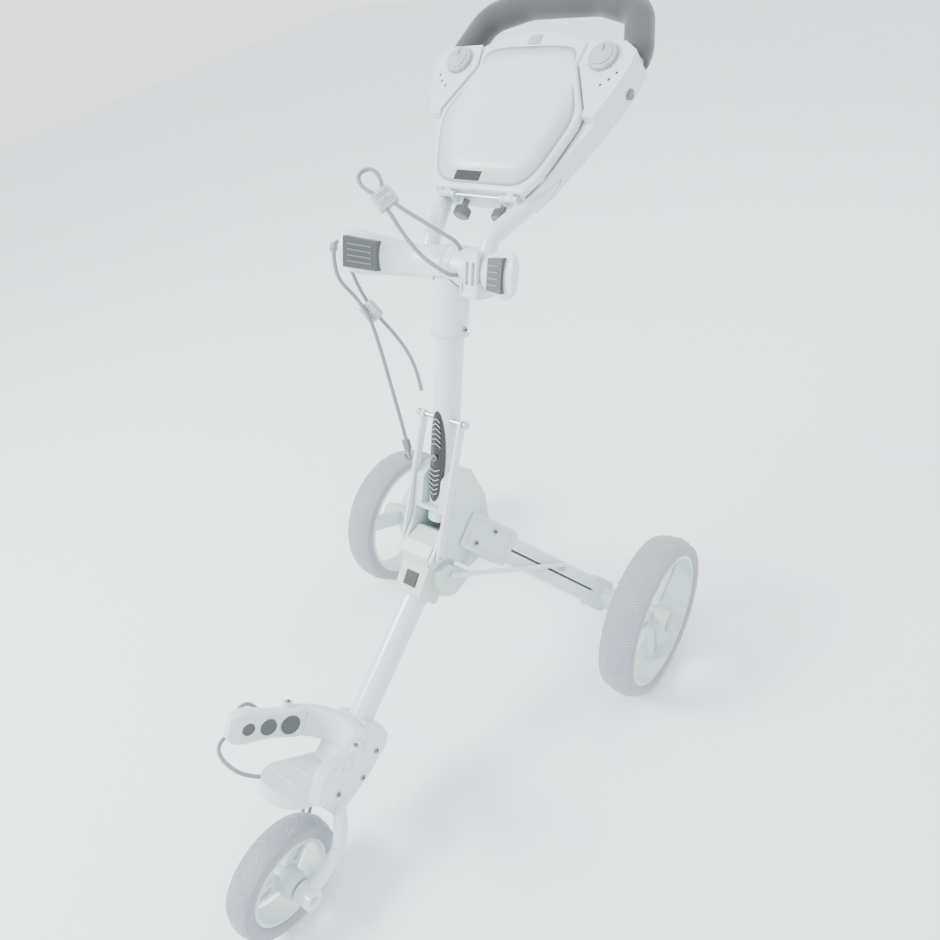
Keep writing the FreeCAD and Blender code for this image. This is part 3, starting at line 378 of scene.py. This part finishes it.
def tyre_outline(radius, half, crown):
    """Seat, rounded shoulders and crowned tread; the marks stand proud of it."""
    seat = radius + MARK_HEIGHT - TYRE_DEPTH
    points = [(seat, -half + 4), (seat + 3, -half + 1.5), (seat + 7, -half + 0.3)]
    base = tread_radius(radius, half, crown, half - SHOULDER)
    for step in range(5):
        angle = math.radians(90 * step / 4)
        points.append((base - SHOULDER + SHOULDER * math.sin(angle),
                       -half + SHOULDER - SHOULDER * math.cos(angle)))
    for step in range(1, 10):
        depth = (half - SHOULDER) * (step / 5 - 1)
        points.append((tread_radius(radius, half, crown, depth), depth))
    mirror = [(r, -d) for r, d in reversed(points[:8])]
    return points + mirror


# %% [markdown]
# Tread marks, dial teeth and knurls share one idea: a small shape repeated round an axis. One node
# tree does it: as many points as copies, all at the centre, and a shape on each, turned by its share
# of a full turn.

# %% Repeat a piece round any axis
def copies_tree():
    """Geometry Nodes: copies of the modified mesh turned round an axis, then moved to a centre."""
    tree = bpy.data.node_groups.new("copies_round_axis", "GeometryNodeTree")
    face = tree.interface
    face.new_socket("Geometry", in_out="INPUT", socket_type="NodeSocketGeometry")
    socket_shades = {name: face.new_socket(name, in_out="INPUT", socket_type=f"NodeSocket{kind}").identifier
               for name, kind in (("Count", "Int"), ("Centre", "Vector"), ("Axis", "Vector"),
                                  ("Material", "Material"))}
    face.new_socket("Geometry", in_out="OUTPUT", socket_type="NodeSocketGeometry")
    nodes, links = tree.nodes, tree.links
    start, end = nodes.new("NodeGroupInput"), nodes.new("NodeGroupOutput")
    spots, number = nodes.new("GeometryNodePoints"), nodes.new("GeometryNodeInputIndex")
    share, angle = nodes.new("ShaderNodeMath"), nodes.new("ShaderNodeMath")
    share.operation, angle.operation = "DIVIDE", "MULTIPLY"
    angle.inputs[1].default_value = 2 * math.pi
    turn = nodes.new("FunctionNodeAxisAngleToRotation")
    copies = nodes.new("GeometryNodeInstanceOnPoints")
    whole, paint = nodes.new("GeometryNodeRealizeInstances"), nodes.new("GeometryNodeSetMaterial")
    links.new(start.outputs["Count"], spots.inputs["Count"])
    links.new(start.outputs["Centre"], spots.inputs["Position"])
    links.new(number.outputs[0], share.inputs[0])
    links.new(start.outputs["Count"], share.inputs[1])
    links.new(share.outputs[0], angle.inputs[0])
    links.new(start.outputs["Axis"], turn.inputs["Axis"])
    links.new(angle.outputs[0], turn.inputs["Angle"])
    links.new(spots.outputs[0], copies.inputs["Points"])
    links.new(start.outputs["Geometry"], copies.inputs["Instance"])
    links.new(turn.outputs[0], copies.inputs["Rotation"])
    links.new(copies.outputs[0], whole.inputs[0])
    links.new(whole.outputs[0], paint.inputs["Geometry"])
    links.new(start.outputs["Material"], paint.inputs["Material"])
    links.new(paint.outputs[0], end.inputs[0])
    return tree, socket_shades


COPIES, COPIES_INPUT = copies_tree()


def settle(piece):
    """Turn the modified object into a plain mesh."""
    bpy.context.view_layer.update()
    worked = piece.evaluated_get(bpy.context.evaluated_depsgraph_get())
    result = bpy.data.meshes.new_from_object(worked)
    piece.modifiers.clear()
    piece.data = result


def copies_round(piece, count, centre, axis, material):
    """Copies of a piece made round the origin, as a plain mesh."""
    ring = piece.modifiers.new("copies", "NODES")
    ring.node_group = COPIES
    for name, value in (("Count", count), ("Centre", tuple(centre)), ("Axis", tuple(axis)),
                        ("Material", FINISHES[material])):
        ring[COPIES_INPUT[name]] = value
    settle(piece)
    clean(piece)
    shade(piece, False)


# %% Tread strokes
CHEVRON = [((-8, -22), (0, -3)), ((0, -3), (8, -22)), ((-3.4, -22), (0, -13)), ((0, -13), (3.4, -22))]
STROKES = [((a - 16, b), (c - 16, d)) for (a, b), (c, d) in CHEVRON]
STROKES += [((a + 17, -b), (c + 17, -d)) for (a, b), (c, d) in CHEVRON]
STROKES += [((-29, -21), (-22, -8)), ((4, 21), (10, 8))]


def stroke(points, faces, start, end, radius, half, crown):
    """One raised stroke on the tread, as a low ridge from start to end (along, across) in mm."""
    steps = 6
    run = Vector(end) - Vector(start)
    sideways = Vector((-run.y, run.x)).normalized() * MARK_WIDTH / 2
    first = len(points)
    for step in range(steps + 1):
        spot = Vector(start) + run * step / steps
        for shift, height in ((-1, MARK_ROOT), (-0.6, MARK_HEIGHT), (0.6, MARK_HEIGHT), (1, MARK_ROOT)):
            along, across = spot + sideways * shift
            rim = tread_radius(radius, half, crown, across) + height
            angle = along / radius
            points.append(Vector((math.sin(angle) * rim, across, math.cos(angle) * rim)) * MM)
    for step in range(steps):
        row = first + 4 * step
        for spot in range(3):
            faces.append((row + spot, row + spot + 1, row + spot + 5, row + spot + 4))
    last = first + 4 * steps
    faces.append((first + 3, first + 2, first + 1, first))
    faces.append((last, last + 1, last + 2, last + 3))


def tyre(prefix, radius, half, crown, groups, body):
    """Smooth ring and raised marks for one wheel."""
    centre = middle(f"{prefix}_tyre")
    ring = turned(f"{prefix}_tyre_ring", tyre_outline(radius, half, crown), centre, ACROSS, 96, "tyre")
    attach(ring, body)
    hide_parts(f"{prefix}_tyre")
    points, faces = [], []
    squeeze = half / 30
    for start, end in STROKES:
        stroke(points, faces, (start[0] * squeeze, start[1] * squeeze),
               (end[0] * squeeze, end[1] * squeeze), radius, half, crown)
    marks = plain_mesh(f"{prefix}_tread_marks", points, faces)
    copies_round(marks, groups, centre, ACROSS, "tread")
    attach(marks, body)


# Each wheel: name, radius, half width, crown, groups of marks, and the body that it turns with.
WHEELS = (("rear_left", 145, 30, 9, 13, "wheel_left"), ("rear_right", 145, 30, 9, 13, "wheel_right"),
          ("front", 94.2, 23.2, 6.4, 10, "front_wheel"))
for prefix, radius, half, crown, groups, body in WHEELS:
    tyre(prefix, radius - MARK_HEIGHT, half, crown, groups, body)
print("three tyres with raised marks")


# %% [markdown]
# ## Small mouldings
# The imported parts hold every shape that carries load. The details below sit on them: a plate is an
# outline lifted along a direction, and a strip is a thin bar along a line. A plate that is seen from
# close by has its edges rounded.

# %% Shapes for details
def dress(piece, body, material, old=()):
    """Finish a detail: its paint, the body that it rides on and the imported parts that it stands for."""
    piece.data.materials.clear()
    piece.data.materials.append(FINISHES[material])
    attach(piece, body)
    if old:
        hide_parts(*old)
    return piece


SHARP_EDGE, SHARP_SHADE = math.radians(30), math.radians(40)


def soften(piece, radius):
    """Round the sharp edges of a cleaned piece."""
    mesh = bmesh.new()
    mesh.from_mesh(piece.data)
    edges = [edge for edge in mesh.edges
             if len(edge.link_faces) == 2 and edge.calc_face_angle(0) > SHARP_EDGE]
    bmesh.ops.bevel(mesh, geom=edges, offset=radius * MM, segments=2, affect="EDGES", profile=0.5,
                    clamp_overlap=True)
    mesh.to_mesh(piece.data)
    mesh.free()
    shade(piece, True)
    piece.data.set_sharp_from_angle(angle=SHARP_SHADE)


def prism(name, outline, place, low, high, radius=0.0):
    """An outline of (a, b) in mm lifted from low to high; place turns (a, b, c) into a point."""
    count = len(outline)
    points = [place(a, b, c) for c in (low, high) for a, b in outline]
    faces = [tuple(range(count)), tuple(range(count, 2 * count))]
    for spot in range(count):
        onward = (spot + 1) % count
        faces.append((spot, onward, count + onward, count + spot))
    piece = plain_mesh(name, points, faces)
    clean(piece)
    if radius:
        soften(piece, radius)
    return piece


def axes(origin, along, across, out):
    """A function that turns (a, b, c) in mm into a point on three directions."""
    return lambda a, b, c: origin + (along * a + across * b + out * c) * MM


def tube_along(name, points, radius):
    """A thin bar with a round section and flat ends, led by points, as a plain mesh."""
    maker = round_line(name, points, radius, roundness=2, steps=12)
    bpy.context.view_layer.update()
    mesh = bpy.data.meshes.new_from_object(maker.evaluated_get(bpy.context.evaluated_depsgraph_get()))
    bpy.data.objects.remove(maker)
    piece = bpy.data.objects.new(name, mesh)
    bpy.context.scene.collection.objects.link(piece)
    clean(piece)
    shade(piece, True)
    return piece


def join(name, pieces):
    """One object from several that share a finish."""
    mesh = bmesh.new()
    for piece in pieces:
        mesh.from_mesh(piece.data)
        bpy.data.objects.remove(piece)
    whole = bpy.data.meshes.new(name)
    mesh.to_mesh(whole)
    mesh.free()
    joined = bpy.data.objects.new(name, whole)
    bpy.context.scene.collection.objects.link(joined)
    return joined


# %% [markdown]
# ## Console
# The lid is a large, softly swollen panel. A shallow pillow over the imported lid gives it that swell.
# The rim of the pillow meets the flat panel, and its height grows smoothly towards the middle.

# %% Swell of the lid
LID_HALF = [(70, 4), (87, 25), (111, 99), (112, 119), (79, 186), (80, 218), (40, 222)]
SEAM_HALF = [(77, -5), (95.2, 22), (119.2, 98), (120.6, 121), (85.8, 190), (89, 226), (60, 236),
             (30, 246)]


def both_halves(half):
    """A right half of an outline with its mirror image."""
    return half + [(-a, b) for a, b in reversed(half)]


PILLOW_RINGS = 14


def eased(rim, passes=6, spacing=8):
    """A closed outline cut into short steps, with its corners eased."""
    fine = []
    for (a, b), (c, d) in zip(rim, rim[1:] + rim[:1]):
        steps = max(2, round(math.hypot(c - a, d - b) / spacing))
        fine += [(a + (c - a) * s / steps, b + (d - b) * s / steps) for s in range(steps)]
    for turn in range(passes):
        neighbours = zip(fine[-1:] + fine[:-1], fine, fine[1:] + fine[:1])
        fine = [tuple(0.25 * p + 0.5 * q + 0.25 * r for p, q, r in zip(before, here, after))
                for before, here, after in neighbours]
    return fine


def pillow(name, rim, crest, place, low, swell):
    """A closed shallow dome over an outline, highest over its crest."""
    fine = eased(rim)
    points, faces, count = [], [], len(fine)
    for ring in range(PILLOW_RINGS):
        share = 1 - ring / PILLOW_RINGS
        height = low + swell * (1 - share ** 2) ** 2
        points += [place(crest[0] + (a - crest[0]) * share, crest[1] + (b - crest[1]) * share, height)
                   for a, b in fine]
    points.append(place(*crest, low + swell))
    top = len(points) - 1
    for ring in range(PILLOW_RINGS - 1):
        for spot in range(count):
            onward = (spot + 1) % count
            a, b = ring * count, (ring + 1) * count
            faces.append((a + spot, a + onward, b + onward, b + spot))
    last = (PILLOW_RINGS - 1) * count
    faces += [(last + spot, last + (spot + 1) % count, top) for spot in range(count)]
    faces.append(tuple(range(count)))
    piece = plain_mesh(name, points, faces, True)
    clean(piece)
    return piece


lid_swell = pillow("lid_swell", both_halves(LID_HALF), (0, 118), console, 13.62, 3.2)
dress(lid_swell, "lid", "white_plastic")
seam = tube_along("lid_seam", [console(a, b, 1.2) for a, b in both_halves(SEAM_HALF)], 1.1)
dress(seam, "handle", "gray_plastic")
button_rib = join("button_ribs", [
    tube_along(f"button_rib_{k}", [console(-6, 229 + 4 * k, 14.9), console(6, 229 + 4 * k, 14.9)], 0.7)
    for k in range(3)])
dress(button_rib, "lid_button", "pale_gray")
print("lid swell", len(lid_swell.data.vertices), "points")


# %% [markdown]
# Dials and thumb screws get one small upright rib, repeated round their own axis.

# %% Dials and thumb screws
def teeth(name, body, material, count, centre, axis, radius, low, high, tooth):
    """Small upright ribs round a knob whose axis lies in the cart's middle plane."""
    axis = Vector(axis).normalized()
    side = axis.cross(ACROSS).normalized()
    place = axes(Vector((0, 0, 0)), side, axis.cross(side), axis)
    half = math.pi * radius / count * 0.55
    outline = [(radius - 1, -half), (radius + tooth * 0.5, -half * 0.8), (radius + tooth, -half * 0.3),
               (radius + tooth, half * 0.3), (radius + tooth * 0.5, half * 0.8), (radius - 1, half)]
    rib = prism(name, outline, place, low, high)
    copies_round(rib, count, centre, axis, material)
    return dress(rib, body, material)


for side, body in ((1, "dial_left"), (-1, "dial_right")):
    foot = console(DIAL_ACROSS * side, DIAL_UP, 0)
    teeth(f"{body}_teeth", body, "pale_gray", 26, foot, LID_OUT, 20, 13.6, 17.2, 1.5)
    crown = turned(f"{body}_crown", [(0, 20.2), (14.5, 20.2), (15.5, 21.2), (14.5, 22), (0, 22.4)],
                   foot, LID_OUT, 48, "pale_gray")
    dress(crown, body, "pale_gray")
    # Three flat black discs beside each dial are painted shade, standing for the dark inside of holes in the
    # console.
    hole_shade_discs = [turned(f"{body}_hole_{k}", [(0, 12), (2, 12), (2, 13.15), (0, 13.15)],
                    console(a * side, b, 0), LID_OUT, 16, "badge_black")
             for k, (a, b) in enumerate(((132, 160), (142, 168), (150, 178)))]
    dress(join(f"{body}_holes", hole_shade_discs), "handle", "badge_black")
    mark = prism(f"{body}_mark", [(-1.2, 4), (1.2, 4), (1.2, 12), (-1.2, 12)],
                 axes(foot, ACROSS, LID_UP, LID_OUT), 21.9, 22.9, 0.3)
    dress(mark, body, "gray_plastic")
for side, name in SIDES:
    teeth(f"thumb_screw_teeth_{name}", "handle", "gray_plastic", 20,
          console(34 * side, 0, -17), LID_UP * -1, 11, 20, 31, 1.6)
print("dials and thumb screws toothed")


# %% [markdown]
# The imported screws are plain heads. Each head is found as a separate lump of its part, and it gets a
# flat black hexagon on its outer face, painted shade that stands for a six-sided socket. The way in
# which a head is thinnest is the screw's own axis.

# %% Painted shade for the sockets in the screw heads
SOCKET_SHARE = 0.5


def lumps(node):
    """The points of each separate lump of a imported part, always in the order of its mesh."""
    mesh = bmesh.new()
    mesh.from_mesh(NODES[node].data)
    bmesh.ops.remove_doubles(mesh, verts=mesh.verts, dist=1e-5)
    seen, groups = set(), []
    for seed in mesh.verts:
        if seed in seen:
            continue
        seen.add(seed)
        group, queue = [seed], [seed]
        while queue:
            for edge in queue.pop().link_edges:
                for vertex in edge.verts:
                    if vertex not in seen:
                        seen.add(vertex)
                        group.append(vertex)
                        queue.append(vertex)
        groups.append([vertex.co.copy() for vertex in group])
    mesh.free()
    return groups


def disc_of(points):
    """A round head's centre, axis, radius and half height; it is thinnest along its axis."""
    centre = sum(points, Vector()) / len(points)
    best = None
    for first, second in zip(points, points[1:] + points[:1]):
        normal = (first - centre).cross(second - centre)
        if normal.length < 1e-9:
            continue
        normal.normalize()
        height = max(abs((p - centre).dot(normal)) for p in points)
        if best is None or height < best[0]:
            best = (height, normal)
    height, normal = best
    radius = max(((p - centre) - normal * (p - centre).dot(normal)).length for p in points)
    return centre, normal, radius, height


def socket_shades(node, body, slot, outward):
    """A flat black hexagon on every head of a screw part: painted shade standing for its socket."""
    pieces = []
    for number, points in enumerate(lumps(node)):
        centre, axis, radius, height = disc_of(points)
        if axis.dot(outward(centre)) < 0:
            axis = -axis
        side = axis.orthogonal().normalized()
        place = axes(centre, side, axis.cross(side), axis)
        reach, top = radius / MM * SOCKET_SHARE, height / MM
        hexagon = [(reach * math.cos(math.pi * k / 3), reach * math.sin(math.pi * k / 3))
                   for k in range(6)]
        pieces.append(prism(f"socket_{number}", hexagon, place, top - 0.4, top + 0.12))
    whole = join(f"{node}_sockets", pieces)
    return dress(whole, body, "badge_black")


def off_frame(spot):
    """Screws beside the middle face sideways, and the one on the middle faces the post's front."""
    return Vector((0.4, 60 * spot.y, 0.2)) if abs(spot.y) > 0.01 else POST_FRONT


def off_bracket(spot):
    """Screws on the bracket's sides face sideways, and those on the cradle arms face up the bag."""
    return Vector((0, spot.y, 0)) if abs(spot.y) < 0.05 else BAG_UP


# The hexagons laid on the heads here are painted shade for their sockets, not cut recesses.
socket_shades("frame_screws", "root", "dark_screw", off_frame)
socket_shades("bracket_screws", "front", "dark_screw", off_bracket)


# %% [markdown]
# ## Post, arms and foot
# The badge gets a generic pattern of bowed ribs, the pads their grip ribs, the rear arms a black
# strip of painted shade for a long groove, with a raised line beside it, and the foot two bowed ridges.

# %% Ribs, painted groove shade and ridges
BADGE = cart(107, 0, 504) + POST_FRONT * 24.7 * MM


def badge_rib(rise):
    """A rib at a height on the oval badge, bowed away from the badge's middle."""
    half = 10.5 * math.sqrt(1 - (rise / 75) ** 2)
    bow = math.copysign(5, rise)
    return [BADGE + (ACROSS * half * t + POST_UP * (rise + bow * (1 - t * t))) * MM
            for t in (-1, -0.5, 0, 0.5, 1)]


badge_top = max((Vector(v.co) - BADGE).dot(POST_FRONT) for v in NODES["post_badge"].data.vertices)
ribs = [tube_along(f"badge_rib_{rise}", [p + POST_FRONT * badge_top for p in badge_rib(rise)], 0.7)
        for rise in (*range(-58, -17, 8), *range(18, 59, 8))]
dress(join("badge_ribs", ribs), "root", "pale_gray")

for side, name in SIDES:
    pad_middle = cart(39.5, 118 * side, 794.5)
    along = Vector((23 / 41, side, 15 / 41))
    place = axes(pad_middle, along, POST_UP, POST_FRONT)
    ridges = [tube_along(f"ridge_{rise}", [place(step, rise, 20.1) for step in (-15, 0, 14)], 1.5)
              for rise in (-12, -4, 4, 12)]
    dress(join(f"{name}_pad_ridges", ridges), "handle", "gray_plastic")

# %% Lines on the rear arms and rims on the wings
def arm_frame(side, name):
    """Points on a rear arm: along it, across its face and out of its face."""
    inner, outer = cart(110, 48 * side, 334), cart(0, 192 * side, 145)
    face = Vector(JOINTS[f"arm_swing_{name}"]["axis"]).normalized()
    if face.y * side < 0:
        face = -face
    along = (outer - inner).normalized()
    wide = face.cross(along)
    return axes(inner, along, wide if wide.z > 0 else -wide, face)


for side, name in SIDES:
    place = arm_frame(side, name)
    # The groove is not cut: a thin black strip on the arm's face is painted shade for its dark inside.
    groove_shade_strip = prism(f"arm_groove_{name}", [(44, -1.8), (228, -1.8), (228, 1.8), (44, 1.8)], place,
                   10.9, 11.9)
    dress(groove_shade_strip, f"arm_{name}", "badge_black")
    raised = tube_along(f"arm_line_{name}", [place(60, 9, 12.4), place(140, 9, 12.4),
                                             place(218, 9, 12.4)], 1.1)
    dress(raised, f"arm_{name}", "white_paint")
    bolt = turned(f"arm_bolt_{name}", [(0, 12.4), (6.5, 12.4), (6.5, 14.6), (5.2, 16), (0, 16.4)],
                  place(152, 12, 0), place(0, 0, 1) - place(0, 0, 0), 32, "pale_gray")
    dress(bolt, f"arm_{name}", "pale_gray")
    loop = [(-40, -22), (32, -22), (32, 22), (-40, 22)]
    rim = [tube_along(f"wing_rim_{k}", [place(*loop[k], 19), place(*loop[(k + 1) % 4], 19)], 0.9)
           for k in range(4)]
    dress(join(f"wing_rim_{name}", rim), "root", "mint_plastic")
print("rear arms lined")

# %% Foot ridges and collar
on_bag = axes(cart(0, 0, 0), BAG_FRONT, ACROSS, BAG_UP)
BOW = ((-1, -6), (0, 6), (1, -6))
foot_ridges = [tube_along(f"foot_ridge_{reach}", [on_bag(reach + bow, side * half, -189.9)
                                                  for side, bow in BOW], 1.3)
               for reach, half in ((600, 34), (566, 40))]
dress(join("foot_ridges", foot_ridges), "front", "white_plastic")
POST_TOP = Vector((-0.39, 0, 0.921)).normalized()
collar_ring = turned("collar_ring", [(26.6, 0), (28.3, 0.6), (28.3, 3.2), (26.6, 3.8)],
                     cart(36, 0, 678), POST_TOP, 64, "white_plastic")
dress(collar_ring, "root", "white_plastic")


# %% [markdown]
# ## Slides and hooks
# A slide grips two strands of cord. It is a flat rounded body with ribs for the thumb and a small
# push button. A hook has a shank that the cord is knotted into and a bent tongue.

# %% Slides and hooks
def buckle_axes(centre, along, flat):
    """Length, width and thickness directions of a slide or hook."""
    way = Vector(along).normalized()
    side = way.cross(Vector(flat)).normalized()
    return axes(centre, way, side, way.cross(side) * -1)


def slide(name, centre, along, flat, length, wide, thick):
    """A rounded slide with thumb ribs and a push button; sizes in mm."""
    place = buckle_axes(centre, along, flat)
    a, b, c = length / 2, wide / 2, thick / 2
    body = prism(f"{name}_body", [(-a, -b + 3), (-a + 3, -b), (a - 3, -b), (a, -b + 3), (a, b - 3),
                                  (a - 3, b), (-a + 3, b), (-a, b - 3)], place, -c, c, 1.6)
    ribs = [prism(f"{name}_rib_{k}", [(x - 0.8, -b + 5), (x + 0.8, -b + 5), (x + 0.8, b - 5),
                                      (x - 0.8, b - 5)], place, -c - 1, c + 1, 0.5)
            for k, x in enumerate((-9, -5, 5, 9))]
    button = turned(f"{name}_button", [(0, -c - 1.6), (3, -c - 1.6), (3.4, -c), (3.4, c),
                                       (3, c + 1.6), (0, c + 1.6)], place(0, 0, 0),
                    place(0, 0, 1) - place(0, 0, 0), 24, "pale_gray")
    return join(name, [body, *ribs, button])


def hook(name, centre, along, flat, length):
    """A hook: a tapered shank and a bent round tongue; its length in mm."""
    place = buckle_axes(centre, along, flat)
    end = -length / 2
    shank = prism(f"{name}_shank", [(end, -4), (end + 3, -6), (-2, -6), (4, -3),
                                    (4, 3), (-2, 6), (end + 3, 6), (end, 4)], place, -4, 4, 1.4)
    tongue = tube_along(f"{name}_tongue", [place(0, 0, 0), place(8, 0, 0), place(15, 0, 0),
                                           place(19, 5, 0), place(15, 10, 0), place(8, 10, 0)], 2.4)
    return join(name, [shank, tongue])


upper_slide = slide("upper_slide", cart(16, -82, 868), (-12, -40, 27), (0.546, 0.535, 0.644),
                    30, 32, 9)
dress(upper_slide, "handle", "pale_gray", ["cord_slides"])
tip_slide = slide("tip_slide", cart(58, -129, 706), (-4, 22, -34), (0.9, 0, 0.3), 30, 30, 9)
dress(tip_slide, "handle", "pale_gray")
tip_hook = hook("tip_hook", cart(133, -51, 516), (10, 11, -34), (0.9, 0, 0.3), 34)
dress(tip_hook, "handle", "gray_plastic")
fork_clip = slide("fork_clip", cart(587, -35, 84), (12, 0, -16), (0, -1, 0), 36, 26, 9)
dress(fork_clip, "front", "pale_gray", ["fork_hook"])
